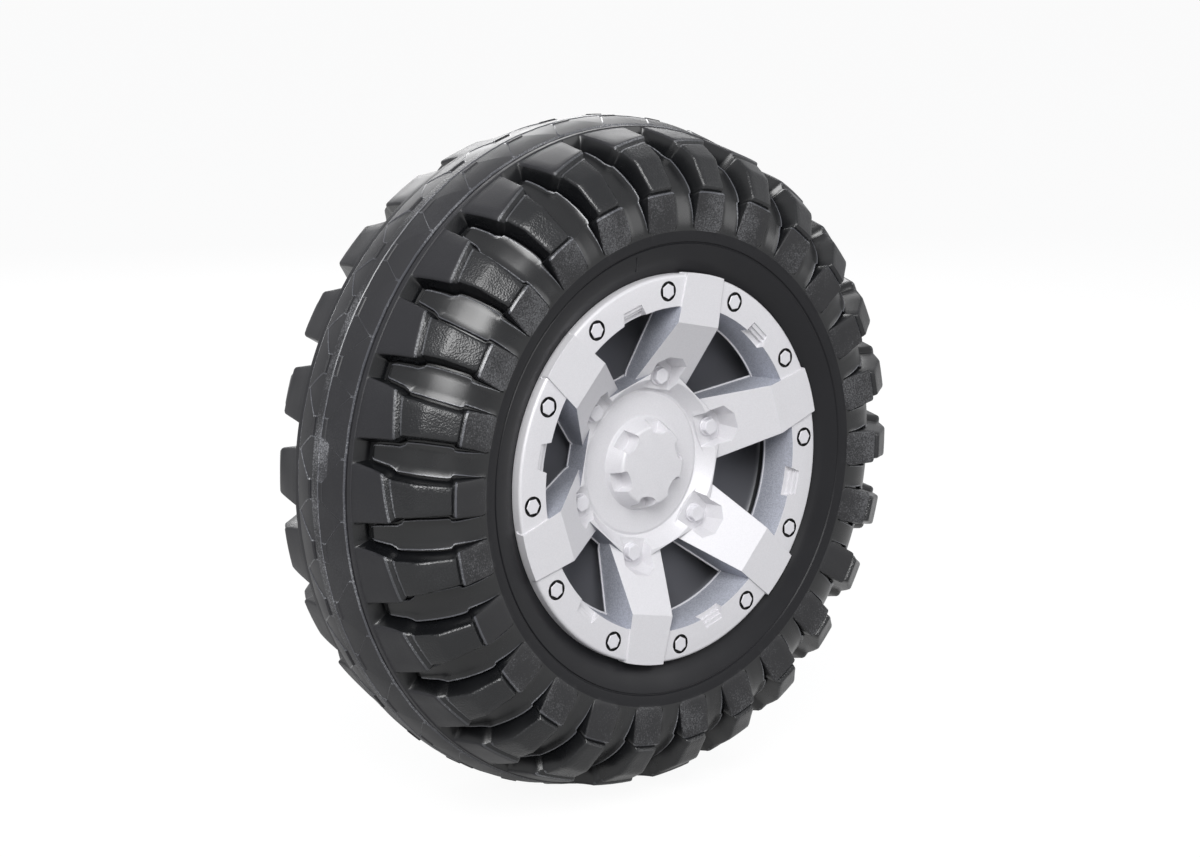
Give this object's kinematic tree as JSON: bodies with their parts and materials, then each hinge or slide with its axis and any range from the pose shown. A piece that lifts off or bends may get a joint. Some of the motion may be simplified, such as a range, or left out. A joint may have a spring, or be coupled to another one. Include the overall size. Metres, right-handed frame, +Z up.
{
  "type": "ride-on toy off-road wheel",
  "caption": "Hollow plastic off-road wheel of a ride-on toy car: moulded lugged tyre, spoked silver hub cap, flanged bushes, drive socket and steel axle end.",
  "frame": {"origin": "on the wheel's axis, where the bare axle end leaves the retaining clip on the inboard side", "axes": "+Y along the axle, inboard towards the vehicle, so the hub cap faces -Y; +Z up; +X forward"},
  "size_m": [0.3446, 0.1867, 0.3448],
  "materials": {
    "zinc_steel": "zinc plated",
    "spring_steel": "black oxide",
    "black_shell": "blow moulded polyethylene, fine grain",
    "black_bush": "moulded nylon",
    "silver_cap": "silver metallic plastic",
    "silver_bolts": "bright silver plastic",
    "grey_drive": "moulded nylon"
  },
  "bodies": {
    "axle": {"axle_rod": "zinc_steel", "retaining_clip": "spring_steel", "inner_washer": "zinc_steel", "outer_washer": "zinc_steel", "lock_nut": "zinc_steel"},
    "wheel": {"wheel_shell": "black_shell", "outer_bush": "black_bush", "inner_bush": "black_bush", "hub_cap": "silver_cap", "ring_bolts": "silver_bolts", "lug_bolts": "silver_bolts", "drive_hub": "grey_drive", "drive_screws": "zinc_steel"}
  },
  "joints": [
    {"name": "wheel_spin", "type": "hinge", "parent": "axle", "child": "wheel", "pos_m": [0, -0.061, 0], "axis": [0, 1, 0], "continuous": true}
  ]
}
